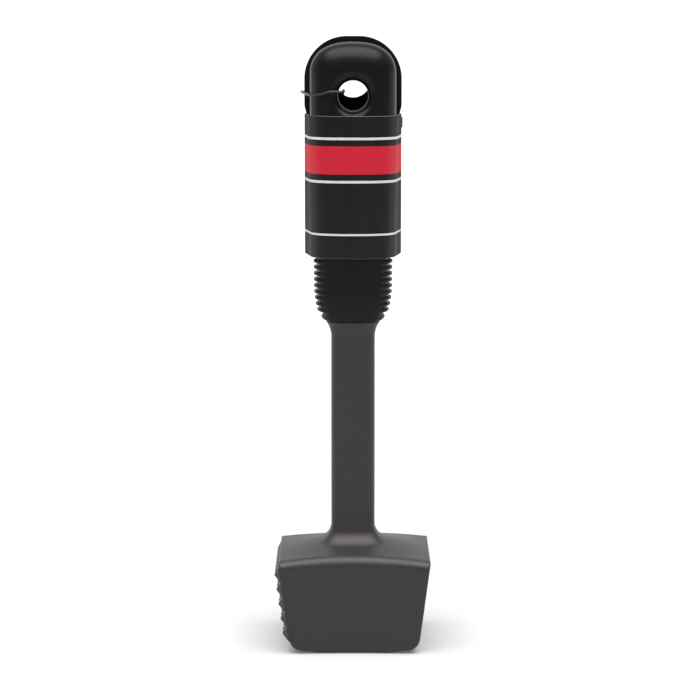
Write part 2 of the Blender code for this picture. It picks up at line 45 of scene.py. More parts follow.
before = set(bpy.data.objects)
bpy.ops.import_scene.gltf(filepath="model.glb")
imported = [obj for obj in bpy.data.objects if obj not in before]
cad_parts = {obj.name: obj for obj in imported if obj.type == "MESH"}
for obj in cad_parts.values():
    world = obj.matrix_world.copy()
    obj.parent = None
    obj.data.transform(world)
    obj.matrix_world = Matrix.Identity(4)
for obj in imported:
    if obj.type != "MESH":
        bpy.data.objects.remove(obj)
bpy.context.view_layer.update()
MM = 0.001

# Clearance between pieces, and distances under which places count as one
FIT_GAP = 0.3 * MM
NEAR = 0.01 * MM
WELD = 0.001 * MM
TIE_WELD = 0.005 * MM

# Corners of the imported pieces, which place the dressed ones
GRIP_LOW, GRIP_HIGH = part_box("grip")
BAND_LOW, BAND_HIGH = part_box("wrap_band")
CARD_LOW, CARD_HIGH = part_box("backing_card")
LOCK_LOW, LOCK_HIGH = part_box("tie_lock")
CORE_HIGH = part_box("handle_core")[1]
CASTING_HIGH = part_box("head_casting")[1]

# Where the head's top is cut to take its crown and dome, as shares of its half width and half depth
HEAD_CUTS = (0.62, 0.46, 0.3, 0.15, 0.0)
DOME_CUTS = (0.74, 0.56, 0.38, 0.19, 0.0)

# Squareness of the casting's oval outlines, where 2 is an ellipse
SHAFT_POWER = 4.0
FILLET_POWER = 3.0
COLLAR_POWER = 2.8
TANG_POWER = 5.0

# Turns of the shaft's fillet in degrees, from its foot up, and the turn past which it lies on the dome
FILLET_TURNS = (89, 87, 84, *range(80, -1, -5))
FOLLOW_TURN = 80

# How steeply the collar opens towards its upper end
COLLAR_CURVE = 2.2

# Outlines of the grip's lip as shares of its height, and of its cap as turns in degrees
LIP_SHARES = (-0.1, 0.0, 0.04, 0.12, 0.25, 0.45, 0.7)
CAP_TURNS = (*range(5, 88, 4), 88.6)

# Lower half of one fin: height as a share of the pitch, and how deep the slot is there
FIN_PROFILE = (
    (-0.5, 1.0),
    (-0.41, 0.97),
    (-0.355, 0.8),
    (-0.31, 0.52),
    (-0.26, 0.25),
    (-0.18, 0.06),
    (0.0, 0.0),
)

# Height over the last fin's middle from which the plain grip goes on, as a share of the pitch
FIN_END = 0.6

# Steps along the collar, the plain grip and each stretch of the tie's route
COLLAR_STEPS = 12
BODY_STEPS = 24
TIE_STEPS = 9

# Segments round each oval
SHAFT_SEGMENTS = 96
GRIP_SEGMENTS = 128
SEAT_SEGMENTS = 48
BAND_SEGMENTS = 160
HOLE_SEGMENTS = 96

# Size of the lock bead in its groove, as shares of its full size
LOCK_NECK = (1.0, 0.86, 0.92)

# Stripes of the band, each from and to in millimetres above its lower edge
RED_STRIPE = (33.0, 44.0)
PINSTRIPES = ((9.0, 9.8), (29.6, 30.6), (46.4, 47.4))

# Distance from the middle at which the band's gloss is worn towards its folds
SCUFF_FROM = 12.5 * MM

# Upright share of a face's normal past which the face counts as the band's cut edge
CUT_LEAN = 0.35

# Brightness of the surroundings on the camera's side and behind the object
FRONT_GLOW = 0.3
BACK_GLOW = 1.08
WHITE = (1.0, 1.0, 1.0)

# Soft boxes of the stage: place, aim, width and height in metres, and brightness
LIGHTS = {
    "top_front_box": ((0.0, -0.3, 1.2), (0.0, 0.0, 0.15), 1.6, 1.0, 6.0),
    "left_strip": ((-0.75, 0.1, 0.35), (0.0, 0.0, 0.12), 0.35, 0.9, 0.5),
    "right_strip": ((0.75, 0.1, 0.35), (0.0, 0.0, 0.12), 0.35, 0.9, 0.5),
}


def length(name, description, millimetres):
    return bpy.props.FloatProperty(
        name=name,
        description=description,
        default=millimetres * MM,
        unit="LENGTH",
        precision=5,
    )


def angle(name, description, degrees):
    return bpy.props.FloatProperty(
        name=name,
        description=description,
        default=math.radians(degrees),
        subtype="ANGLE",
    )


def colour(name, description, red, green, blue):
    return bpy.props.FloatVectorProperty(
        name=name,
        description=description,
        default=(red, green, blue),
        subtype="COLOR",
        min=0.0,
        max=1.0,
    )


class MalletCastingSizes(bpy.types.PropertyGroup):
    """Sizes of the cast head and shaft"""

    depth: length("Head depth", "Front to back of the head at its striking faces", 48.5)
    width: length("Head width", "Between the top edges of the striking faces", 60.3)
    height: length("Head height", "Base to the top edges of the striking faces", 37.2)
    crown: length("Crown", "Rise of the top's front and back edges towards their middle", 1.5)
    dome: length("Dome", "Further rise of the head's top towards the shaft", 3.7)
    waist: length("Waist", "Hollow of the front and back faces", 1.6)
    offset: length("Head offset", "How far the head sits off the shaft, away from the teeth", 0.6)
    base_flat: length("Base flat", "Width of the flat underside", 26.0)
    base_rise: length("Base rise", "Lift of the underside at its corners", 0.9)
    base_corner: length("Base corner", "Radius of the lower corners", 5.5)
    top_round: length("Top edge", "Rounding of the front and back top edges", 4.0)
    base_round: length("Base edge", "Rounding of the lower edges", 1.6)
    face_round: length("Face edge", "Rounding round the striking faces", 0.9)
    tooth_pitch: length("Tooth pitch", "Distance between neighbouring teeth", 6.0)
    tooth_height: length("Tooth height", "Height of a tooth", 2.05)
    tooth_tip: length("Tooth tip", "Width of a tooth's blunt tip", 0.5)
    tooth_margin: length("Tooth margin", "Plain strip above the top row of teeth", 2.2)
    tooth_seat: length("Tooth seat", "Rise of the valleys over the face", 0.15)
    tooth_root: length("Tooth root", "How far the teeth go into the head", 1.0)
    tooth_round: length("Tooth round", "Softening of the ridges and tips", 0.13)
    shaft_width: length("Shaft width", "Width of the shaft", 17.4)
    shaft_depth: length("Shaft depth", "Thickness of the shaft", 12.4)
    fillet: length("Shaft fillet", "Fillet of the shaft into the head", 5.5)
    shaft_sink: length("Shaft sink", "How far the shaft's foot goes into the head", 4.0)
    collar_flare: length("Collar flare", "How far the collar opens on each side", 2.1)
    collar_height: length("Collar height", "Height of the collar", 6.4)
    tang_width: length("Tang width", "Width of the tang inside the handle", 9.0)
    tang_depth: length("Tang depth", "Thickness of the tang inside the handle", 5.6)
    tang_foot: length("Tang foot", "Rise of the collar's flat to the foot of the tang", 0.15)
    draft: angle("Face draft", "Lean of each striking face", 7.4)


class MalletGripSizes(bpy.types.PropertyGroup):
    """Sizes of the soft grip"""

    width: length("Grip width", "Width of the grip round the hang hole", 33.8)
    depth: length("Grip depth", "Thickness of the grip round the hang hole", 20.0)
    wall: length("Grip wall", "Rubber over the core at front and back", 2.2)
    cap: length("Cap", "Height of the rounded top", 13.0)
    neck_width: length("Neck width", "Width where the grip meets the collar", 21.6)
    neck_depth: length("Neck depth", "Thickness where the grip meets the collar", 16.6)
    lip_height: length("Lip height", "Height of the rounded lip at the neck", 2.4)
    lip_width: length("Lip swell", "Sideways swell of the lip", 2.0)
    lip_depth: length("Lip thickness", "Swell of the lip at front and back", 0.5)
    shoulder_height: length("Shoulder height", "Height at which the finned shoulder ends", 15.4)
    shoulder_width: length("Shoulder width", "Width across the fins", 31.3)
    shoulder_depth: length("Shoulder depth", "Thickness at the fins", 19.0)
    taper_end: length("Taper end", "Height at which the grip reaches its full size", 72.0)
    fin_pitch: length("Fin pitch", "Distance between neighbouring fins", 2.42)
    fin_start: length("Fin start", "Height of the lowest fin", 4.2)
    fin_zone: length("Fin zone", "Length of the finned stretch", 38.0)
    fin_slot: length("Fin slot", "Depth of the slots between the fins", 2.3)
    fin_wall: length("Fin wall", "Rubber over the core at the sides", 3.9)
    fin_ease: length("Fin ease", "Softening of the slots where they run out", 0.8)
    hole_from_top: length("Hole from top", "Top of the grip to the middle of the hang hole", 20.7)
    hole_radius: length("Hole radius", "Radius of the hang hole", 5.95)
    hole_fillet: length("Hole fillet", "Rounding of the hang hole's mouths", 4.2)
    lining: length("Lining", "Rubber round the hang hole", 2.35)
    oval: bpy.props.FloatProperty(
        name="Oval power",
        description="2 is an ellipse, and more is squarer",
        default=2.4,
        min=2.0,
    )
    fade: bpy.props.FloatProperty(
        name="Fin fade",
        description="Share of the half width at which the slots run out",
        default=0.69,
        subtype="FACTOR",
    )


class MalletSleeveSizes(bpy.types.PropertyGroup):
    """Sizes of the card, the band and the tie"""

    card_corner: length("Card corner", "Corner radius of the card's top", 16.8)
    card_tuck: length("Card tuck", "How much the card narrows into the band", 0.1)
    card_shoulder: length("Card shoulder", "Height over the band at which the card is wide again", 3.0)
    card_hole: length("Card hole", "Radius of the punched hole", 6.9)
    card_hole_rise: length("Card hole rise", "Punched hole's centre above the hang hole's", 5.5)
    board: length("Board", "Thickness of the band", 0.4)
    band_taper: length("Band taper", "How much each side of the band draws in towards its lower edge", 0.75)
    flap_width: length("Flap", "Width of the glued overlap at the back of the band", 9.0)
    flap_thickness: length("Flap thickness", "Thickness of the glued overlap", 0.25)
    flap_inset: length("Flap inset", "Overlap's upper and lower end from the band's", 0.2)
    flap_offset: length("Flap offset", "End of the overlap from the middle of the back", 0.5)
    flap_glue: length("Flap glue", "Glue between the band and its overlap", 0.015)
    flap_round: length("Flap round", "Rounding of the overlap's upright edges", 0.075)
    board_round: length("Board round", "Rounding of the band's cut edges", 0.13)
    fold_round: length("Fold round", "Rounding of the band round the card's edges", 0.35)
    tie_radius: length("Tie radius", "Radius of the plastic tie", 0.5)
    tie_rise: length("Tie rise", "Tie above the hang hole's centre where it passes through", 1.7)
    tie_side: length("Tie from side", "Tie from the side of the hang hole", 2.25)
    lock_round: length("Lock round", "Rounding of the lock bead", 0.55)
    lock_groove: length("Lock groove", "Half width of the groove round the lock bead", 0.35)


class MalletColours(bpy.types.PropertyGroup):
    """Colours of the finishes"""

    casting: colour("Casting", "Dark coat of the casting", 0.0212, 0.0196, 0.0199)
    rubber: colour("Rubber", "Soft grip", 0.0039, 0.0038, 0.0038)
    board: colour("Board", "Black printed board", 0.004, 0.004, 0.0042)
    board_core: colour("Board core", "Cut edge of the band", 0.24, 0.235, 0.23)
    stripe: colour("Stripe", "Wide stripe of the band", 0.5, 0.011, 0.027)
    pinstripe: colour("Pinstripe", "Thin lines of the band", 0.6, 0.59, 0.59)
    tie: colour("Tie", "Plastic tie and lock", 0.007, 0.007, 0.007)
    core: colour("Core", "Handle core", 0.11, 0.11, 0.12)
    steel: colour("Steel", "Cross pins", 0.56, 0.56, 0.57)


class MalletStageSizes(bpy.types.PropertyGroup):
    """Camera and stage"""

    distance: length("Camera distance", "Camera to the middle of the view", 900.0)
    aim_x: length("Aim across", "Middle of the view from the shaft's axis", -1.2)
    aim_z: length("Aim height", "Height of the middle of the view", 118.3)
    floor: length("Floor", "Side of the floor", 120000.0)
    floor_drop: length("Floor drop", "Floor under the base of the head", 0.1)
    far_clip: length("Far clip", "How far the camera sees", 200000.0)
    elevation: angle("Elevation", "Angle at which the camera looks down", 9.2)
    lens: bpy.props.FloatProperty(
        name="Lens",
        description="Focal length in millimetres on a 36 mm sensor",
        default=116.2,
        subtype="DISTANCE_CAMERA",
    )


class Signal:
    """One value inside a node tree, on which Python's operators add Math nodes."""

    def __init__(self, tree, socket):
        self.tree = tree
        self.socket = socket

    @classmethod
    def add(cls, tree, kind, settings, inputs, output=0):
        """Adds a node, sets its settings first, then fills or links its inputs."""
        made = tree.nodes.new(kind)
        for key, value in settings.items():
            setattr(made, key, value)
        for key, value in inputs.items():
            if isinstance(value, Signal):
                tree.links.new(value.socket, made.inputs[key])
            else:
                made.inputs[key].default_value = value
        return cls(tree, made.outputs[output])

    def node(self, kind, settings, inputs, output=0):
        return self.add(self.tree, kind, settings, inputs, output)

    def maths(self, operation, first, second):
        return self.node("ShaderNodeMath", {"operation": operation}, {0: first, 1: second})

    def __add__(self, other):
        return self.maths("ADD", self, other)

    def __radd__(self, other):
        return self.maths("ADD", other, self)

    def __sub__(self, other):
        return self.maths("SUBTRACT", self, other)

    def __rsub__(self, other):
        return self.maths("SUBTRACT", other, self)

    def __mul__(self, other):
        return self.maths("MULTIPLY", self, other)

    def __rmul__(self, other):
        return self.maths("MULTIPLY", other, self)

    def __gt__(self, other):
        return self.maths("GREATER_THAN", self, other)

    def __lt__(self, other):
        return self.maths("LESS_THAN", self, other)

    def __abs__(self):
        return self.maths("ABSOLUTE", self, 0.0)

    def ramp(self, low, high):
        """0 below low, 1 above high and smooth between."""
        inputs = {"Value": self, "From Min": low, "From Max": high}
        return self.node("ShaderNodeMapRange", {"interpolation_type": "SMOOTHSTEP"}, inputs)

    def noise(self, scale, detail=2.0, stretch=(1.0, 1.0, 1.0)):
        """Noise of the stretched coordinates, with features about one metre over scale across."""
        mapped = self.node("ShaderNodeMapping", {}, {"Vector": self, "Scale": stretch})
        inputs = {"Vector": mapped, "Scale": scale, "Detail": detail}
        return self.node("ShaderNodeTexNoise", {}, inputs)

    def axis(self, letter):
        return self.node("ShaderNodeSeparateXYZ", {}, {0: self}, letter)

    def blend(self, low, high):
        """Colour between two colours, by this value."""
        inputs = {"Factor": self, 6: low, 7: high}
        return self.node("ShaderNodeMix", {"data_type": "RGBA"}, inputs, 2)

    def tint(self, base, low, high):
        """A colour between two strengths of it, by this value."""
        return self.blend(shade(base, low), shade(base, high))

    def bump(self, strength, distance):
        inputs = {"Height": self, "Strength": strength, "Distance": distance}
        return self.node("ShaderNodeBump", {}, inputs)


class Finish:
    """A material with one shader, and its Object coordinates as a Signal."""

    def __init__(self, name, **values):
        self.material = bpy.data.materials.new(name)
        self.material.use_nodes = True
        self.tree = self.material.node_tree
        self.shader = self.tree.nodes["Principled BSDF"]
        self.place = Signal.add(self.tree, "ShaderNodeTexCoord", {}, {}, "Object")
        for key, value in values.items():
            self.shader.inputs[key.replace("_", " ")].default_value = value

    def feed(self, **signals):
        for key, signal in signals.items():
            self.tree.links.new(signal.socket, self.shader.inputs[key.replace("_", " ")])
        return self.material


def shade(base, factor):
    """A colour made lighter or darker, with its alpha."""
    return (*[min(1.0, value * factor) for value in base], 1.0)


def casting_finish(colours):
    """Satin die-cast coat with fine grain and a slightly uneven gloss."""
    finish = Finish(
        "casting_coat",
        Metallic=0.0,
        Specular_IOR_Level=0.45,
        Specular_Tint=(1.0, 0.92, 0.935, 1.0),
    )
    grain = finish.place.noise(2400.0, 3.0)
    cloud = finish.place.noise(55.0, 2.0)
    return finish.feed(
        Base_Color=(0.6 * grain + 0.4 * cloud).tint(colours.casting, 0.86, 1.14),
        Roughness=0.38 + 0.08 * cloud + 0.05 * grain,
        Normal=grain.bump(0.16, 0.04 * MM),
    )


def rubber_finish(colours):
    """Soft moulded rubber with a fine matt grain and faint handling smears."""
    finish = Finish("grip_rubber", Metallic=0.0, Specular_IOR_Level=0.17)
    grain = finish.place.noise(3200.0, 2.0)
    smear = finish.place.noise(38.0, 3.0, (1.0, 1.0, 0.5))
    return finish.feed(
        Base_Color=smear.tint(colours.rubber, 0.8, 1.25),
        Roughness=0.25 + 0.1 * smear + 0.05 * grain,
        Normal=grain.bump(0.22, 0.03 * MM),
    )


def card_finish(colours):
    """Black board with fine paper fibres."""
    finish = Finish("card_board", Metallic=0.0, Specular_IOR_Level=0.12)
    fibre = finish.place.noise(900.0, 4.0, (1.0, 1.0, 0.3))
    return finish.feed(
        Base_Color=fibre.tint(colours.board, 0.7, 1.3),
        Roughness=0.5 + 0.15 * fibre,
        Normal=fibre.bump(0.1, 0.03 * MM),
    )


def stripe_mask(height, stripe):
    """1 inside a stripe and 0 outside."""
    low, high = stripe
    return (height > low * MM) * (height < high * MM)


def band_finish(colours):
    """Glossy print: a red stripe and white pinstripes on black, with a bare board edge."""
    finish = Finish("band_print", Metallic=0.0, Specular_IOR_Level=0.25, Coat_Roughness=0.12)
    height = finish.place.axis("Z") - BAND_LOW[2]
    fibre = finish.place.noise(700.0, 3.0, (1.0, 1.0, 0.02))
    wave = finish.place.noise(120.0, 2.0, (1.0, 1.0, 0.05))
    black = wave.tint(colours.board, 0.75, 1.25)
    printed = stripe_mask(height, RED_STRIPE).blend(black, shade(colours.stripe, 1.0))
    for stripe in PINSTRIPES:
        printed = stripe_mask(height, stripe).blend(printed, shade(colours.pinstripe, 1.0))
    facing = finish.place.node("ShaderNodeNewGeometry", {}, {}, "True Normal").axis("Z")
    cut = abs(facing) > CUT_LEAN
    scuffed = abs(finish.place.axis("X")).ramp(SCUFF_FROM, BAND_HIGH[0])
    return finish.feed(
        Base_Color=cut.blend(printed, shade(colours.board_core, 1.0)),
        Roughness=0.18 + 0.2 * wave + 0.4 * cut + 0.5 * scuffed,
        Coat_Weight=0.08 - 0.08 * cut - 0.08 * scuffed,
        Normal=(0.8 * wave + 0.2 * fibre).bump(0.35, 0.12 * MM),
    )


def tie_finish(colours):
    """Black drawn plastic with fine wear."""
    finish = Finish("tie_plastic", Metallic=0.0)
    wear = finish.place.noise(1500.0, 3.0)
    return finish.feed(
        Base_Color=wear.tint(colours.tie, 0.8, 1.5),
        Roughness=0.32 + 0.15 * wear,
        Normal=wear.bump(0.1, 0.02 * MM),
    )


def core_finish(colours):
    """Plain moulded plastic of the handle core."""
    finish = Finish("core_plastic", Metallic=0.0)
    grain = finish.place.noise(1200.0, 2.0)
    return finish.feed(
        Base_Color=grain.tint(colours.core, 0.85, 1.15),
        Roughness=0.5 + 0.15 * grain,
        Normal=grain.bump(0.15, 0.04 * MM),
    )


def steel_finish(colours):
    """Ground steel of the cross pins."""
    finish = Finish("pin_steel", Metallic=1.0)
    scratch = finish.place.noise(1500.0, 2.0, (1.0, 0.05, 1.0))
    return finish.feed(
        Base_Color=scratch.tint(colours.steel, 0.9, 1.1),
        Roughness=0.22 + 0.2 * scratch,
    )


def new_object(name, data):
    """Object with its data, linked to the scene."""
    made = bpy.data.objects.new(name, data)
    bpy.context.scene.collection.objects.link(made)
    return made


def new_piece(name, bm):
    """Object with the bmesh as its mesh, its faces pointing outwards."""
    bmesh.ops.recalc_face_normals(bm, faces=bm.faces)
    if bm.calc_volume(signed=True) < 0:
        bmesh.ops.reverse_faces(bm, faces=bm.faces)
    mesh = bpy.data.meshes.new(name)
    bm.to_mesh(mesh)
    bm.free()
    return new_object(name, mesh)


def combine(piece, operation, tool):
    """Joins or cuts the piece with the tool, which is then removed."""
    modifier = piece.modifiers.new(tool.name, "BOOLEAN")
    modifier.operation = operation
    modifier.solver = "EXACT"
    modifier.object = tool
    settle(piece)
    bpy.data.objects.remove(tool)


def shown_mesh(piece):
    """Mesh of a piece or a curve as its modifiers or its bevel show it."""
    graph = bpy.context.evaluated_depsgraph_get()
    return bpy.data.meshes.new_from_object(piece.evaluated_get(graph))


def settle(piece):
    """Makes what the piece's modifiers show its own mesh."""
    mesh = shown_mesh(piece)
    piece.modifiers.clear()
    piece.data = mesh


def dress(piece, material, body, node, sharp=30.0):
    """Shades and coats a finished piece, and puts it in its node's place."""
    piece.data.materials.clear()
    piece.data.materials.append(material)
    piece.data.shade_smooth()
    piece.data.set_sharp_from_angle(angle=math.radians(sharp))
    weighted = piece.modifiers.new("even_shading", "WEIGHTED_NORMAL")
    weighted.keep_sharp = True
    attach(piece, body)
    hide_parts(node)


def unique(items):
    """The items once each, in their order."""
    return list(dict.fromkeys(items))


def oval_rise(share, power):
    """Height of a rounded oval of size 1 at a share of its half width."""
    return (1 - share**power) ** (1 / power)


def oval_loop(bm, half_width, half_depth, height, power, segments):
    """Edges of a circle pulled to a rounded oval at a height."""
    verts = bmesh.ops.create_circle(bm, segments=segments, radius=1.0)["verts"]
    for vert in verts:
        cosine, sine = vert.co.x, vert.co.y
        x = math.copysign(half_width * abs(cosine) ** (2 / power), cosine)
        y = math.copysign(half_depth * abs(sine) ** (2 / power), sine)
        vert.co = (x, y, height)
    return unique(edge for vert in verts for edge in vert.link_edges)


def loop_verts(loop):
    return {vert for edge in loop for vert in edge.verts}


def only_verts(items):
    return [item for item in items if isinstance(item, bmesh.types.BMVert)]


def rising_edges(bm, rise):
    """Edges that climb by more than a rise from end to end."""
    return [edge for edge in bm.edges if abs(edge.verts[0].co.z - edge.verts[1].co.z) > rise]


def soften(bm, geometry, width, segments, affect="EDGES"):
    """Rounds the edges, or the corners of a flat face, by a width."""
    bmesh.ops.bevel(
        bm,
        geom=geometry,
        offset=width,
        segments=segments,
        profile=0.5,
        affect=affect,
        material=-1,
    )


def front_face(outline, depth):
    """One face with an outline in X and Z, at a place on Y."""
    bm = bmesh.new()
    bm.faces.new([bm.verts.new((x, depth, z)) for x, z in outline])
    return bm


def sweep_back(bm, thickness):
    """Sweeps the one face towards the back."""
    swept = bmesh.ops.extrude_face_region(bm, geom=bm.faces[:])["geom"]
    bmesh.ops.translate(bm, verts=only_verts(swept), vec=(0.0, thickness, 0.0))


def cut_across(bm, faces, axis, place):
    """Splits the faces along the plane at a place on an axis."""
    normal = Vector((axis == "X", axis == "Y", 0.0))
    geometry = unique(item for face in faces for item in (face, *face.edges, *face.verts))
    bmesh.ops.bisect_plane(bm, geom=geometry, dist=WELD, plane_co=place * normal, plane_no=normal)


def skin(bm, loops):
    """Bridges the loops in order and closes both ends."""
    for lower, upper in zip(loops, loops[1:]):
        bmesh.ops.bridge_loops(bm, edges=lower + upper)
    for end in (loops[0], loops[-1]):
        bmesh.ops.edgeloop_fill(bm, edges=end)


def cross_cylinder(radius, reach, height):
    """Cylinder along Y, through the handle at a height."""
    bm = bmesh.new()
    bmesh.ops.create_cone(
        bm,
        cap_ends=True,
        segments=HOLE_SEGMENTS,
        radius1=radius,
        radius2=radius,
        depth=reach,
        matrix=Matrix.Translation((0.0, 0.0, height)) @ Matrix.Rotation(math.pi / 2, 4, "X"),
    )
    return bm


def arc_points(centre_x, centre_z, radius, start, stop, steps):
    """Points of an arc in X and Z, between two angles in degrees."""
    points = []
    for step in range(steps + 1):
        turn = math.radians(start + (stop - start) * step / steps)
        points.append((centre_x + radius * math.cos(turn), centre_z + radius * math.sin(turn)))
    return points


def head_outline(sizes):
    """Right half of the head's front outline, from the middle of the base to the middle of the crown."""
    lean = math.tan(sizes.draft)
    foot = sizes.width / 2 - sizes.height * lean
    centre_z = sizes.base_rise + sizes.base_corner
    centre_x = foot + centre_z * lean - sizes.base_corner / math.cos(sizes.draft)
    outline = [(0.0, 0.0), (sizes.base_flat / 2, 0.0)]
    outline += arc_points(centre_x, centre_z, sizes.base_corner, -80, -math.degrees(sizes.draft), 12)
    for share in (1.0, 0.8, *HEAD_CUTS):
        outline.append((share * sizes.width / 2, sizes.height + sizes.crown * (1 - share**2)))
    return outline


def top_height(x, y, sizes):
    """Height of the head's domed top."""
    bow = 1 - ((x - sizes.offset) / (sizes.width / 2)) ** 2
    dome = (1 - (y / (sizes.depth / 2 - sizes.waist * bow)) ** 2) ** 2
    return sizes.height + (sizes.crown + sizes.dome * dome) * bow


def round_weight(edge, sizes):
    """How much of the top edge's rounding an edge of the plain head block gets."""
    first, second = (vert.co for vert in edge.verts)
    reach = abs((first.x + second.x) / 2 - sizes.offset)
    at_face = reach > sizes.width / 2 - sizes.height * math.tan(sizes.draft)
    at_top = min(first.z, second.z) > sizes.height - NEAR
    runs_back = abs(first.y - second.y) > abs(first.x - second.x) + abs(first.z - second.z)
    face_weight = sizes.face_round / sizes.top_round
    if runs_back:
        return face_weight if at_top and reach > sizes.width / 2 - MM else 0.0
    if abs(first.y) < sizes.depth / 2 - 2 * sizes.waist:
        return 0.0
    if at_top:
        return math.tan(edge.calc_face_angle() / 2)
    if at_face and abs(first.z - second.z) > sizes.height / 2:
        return face_weight
    if max(first.z, second.z) < sizes.height / 2:
        return sizes.base_round / sizes.top_round
    return 0.0


def make_head_block(sizes):
    """Head block with its waist, domed top and rounded edges, still without teeth."""
    half = head_outline(sizes)
    bm = front_face(half + [(-x, z) for x, z in reversed(half[1:-1])], -sizes.depth / 2)
    sweep_back(bm, sizes.depth)
    for side in (-1, 1):
        for share in HEAD_CUTS:
            cut_across(bm, bm.faces, "X", side * share * sizes.width / 2)
        for share in DOME_CUTS:
            top = [face for face in bm.faces if face.calc_center_median().z > sizes.height]
            cut_across(bm, top, "Y", side * share * sizes.depth / 2)
    for vert in bm.verts:
        bow = max(0.0, 1 - (vert.co.x / (sizes.width / 2)) ** 2)
        vert.co.x += sizes.offset
        vert.co.y *= 1 - bow * sizes.waist / (sizes.depth / 2)
        if vert.co.z > sizes.height:
            vert.co.z = top_height(vert.co.x, vert.co.y, sizes)
    weight = bm.edges.layers.float.new("bevel_weight_edge")
    for edge in bm.edges:
        edge[weight] = round_weight(edge, sizes)
    block = new_piece("mallet_casting", bm)
    rounding = block.modifiers.new("edge_round", "BEVEL")
    rounding.limit_method = "WEIGHT"
    rounding.width = sizes.top_round
    rounding.segments = 7
    rounding.use_clamp_overlap = False
    settle(block)
    return block


def make_teeth(sizes):
    """Grid of blunt pyramids with softened ridges, laid on the toothed face."""
    columns = int(sizes.depth / sizes.tooth_pitch)
    slope = (sizes.height - sizes.base_rise) / math.cos(sizes.draft)
    rows = int((slope - sizes.tooth_margin - sizes.base_corner / 2) / sizes.tooth_pitch)
    spread = Matrix.Diagonal((columns * sizes.tooth_pitch, rows * sizes.tooth_pitch, 1.0, 1.0))
    bm = bmesh.new()
    bmesh.ops.create_grid(bm, x_segments=columns, y_segments=rows, size=0.5, matrix=spread)
    tips = bm.faces[:]
    bmesh.ops.inset_individual(
        bm,
        faces=tips,
        thickness=(sizes.tooth_pitch - sizes.tooth_tip) / 2,
        depth=sizes.tooth_height,
        use_even_offset=True,
    )
    rim = [edge for edge in bm.edges if edge.is_boundary]
    ridges = rising_edges(bm, sizes.tooth_height / 2)
    skirt = bmesh.ops.extrude_edge_only(bm, edges=rim)["geom"]
    bmesh.ops.translate(bm, verts=only_verts(skirt), vec=(0.0, 0.0, -sizes.tooth_seat - sizes.tooth_root))
    bmesh.ops.contextual_create(bm, geom=[edge for edge in bm.edges if edge.is_boundary])
    tip_edges = [edge for face in tips for edge in face.edges]
    soften(bm, unique(ridges + tip_edges), sizes.tooth_round, 2)
    middle = sizes.height / math.cos(sizes.draft) - sizes.tooth_margin - rows * sizes.tooth_pitch / 2
    foot = sizes.offset - sizes.width / 2 + sizes.height * math.tan(sizes.draft)
    out = Vector((-math.cos(sizes.draft), 0.0, -math.sin(sizes.draft)))
    up = Vector((-math.sin(sizes.draft), 0.0, math.cos(sizes.draft)))
    place = Matrix((up.cross(out), up, out)).transposed().to_4x4()
    place.translation = Vector((foot, 0.0, 0.0)) + middle * up + sizes.tooth_seat * out
    bmesh.ops.transform(bm, matrix=place, verts=bm.verts)
    return new_piece("teeth", bm)


def shaft_loop(bm, spread, height, power, sizes):
    """Outline of the shaft at a height, opened by a spread on every side."""
    half_width = sizes.shaft_width / 2 + spread
    half_depth = sizes.shaft_depth / 2 + spread
    return oval_loop(bm, half_width, half_depth, height, power, SHAFT_SEGMENTS)


def fillet_loop(bm, degrees, sunk, sizes):
    """Outline of the shaft at a turn of its fillet, which follows the domed head at its foot."""
    turn = math.radians(degrees)
    opening = 1 - math.cos(turn)
    head_top = sizes.height + sizes.crown + sizes.dome
    height = head_top + sizes.fillet * (1 - math.sin(turn)) - sunk
    power = SHAFT_POWER + (FILLET_POWER - SHAFT_POWER) * opening
    loop = shaft_loop(bm, sizes.fillet * opening, height, power, sizes)
    for vert in loop_verts(loop):
        drop = head_top - top_height(vert.co.x, vert.co.y, sizes)
        vert.co.z -= drop * min(1.0, degrees / FOLLOW_TURN)
    return loop


def make_shaft(sizes):
    """Shaft lofted from its fillet on the domed head up to the collar and the tang."""
    collar_top = GRIP_LOW[2] - FIT_GAP
    bm = bmesh.new()
    loops = [fillet_loop(bm, FILLET_TURNS[0], sizes.shaft_sink, sizes)]
    for degrees in FILLET_TURNS:
        loops.append(fillet_loop(bm, degrees, 0.0, sizes))
    for step in range(COLLAR_STEPS + 1):
        share = step / COLLAR_STEPS
        spread = sizes.collar_flare * share**COLLAR_CURVE
        height = collar_top - sizes.collar_height * (1 - share)
        power = SHAFT_POWER + (COLLAR_POWER - SHAFT_POWER) * share
        loops.append(shaft_loop(bm, spread, height, power, sizes))
    tang = (sizes.tang_width / 2, sizes.tang_depth / 2)
    for height in (collar_top + sizes.tang_foot, CASTING_HIGH[2]):
        loops.append(oval_loop(bm, *tang, height, TANG_POWER, SHAFT_SEGMENTS))
    skin(bm, loops)
    return new_piece("shaft", bm)


def grip_half_size(height, neck, swell, shoulder, full, sizes):
    """Half width or half depth of the grip at a height above its base, fins counted as solid."""
    total = GRIP_HIGH[2] - GRIP_LOW[2]
    lip = neck + swell
    if height < sizes.lip_height:
        share = min(1.0, 1 - height / sizes.lip_height)
        return neck + swell * oval_rise(share, 2)
    if height < sizes.shoulder_height:
        share = (sizes.shoulder_height - height) / (sizes.shoulder_height - sizes.lip_height)
        return lip + (shoulder - lip) * oval_rise(share, 2)
    if height < sizes.taper_end:
        share = (height - sizes.shoulder_height) / (sizes.taper_end - sizes.shoulder_height)
        return shoulder + (full - shoulder) * share**2 * (3 - 2 * share)
    share = min(1.0, max(0.0, height - total + sizes.cap) / sizes.cap)
    return full * oval_rise(share, sizes.oval)


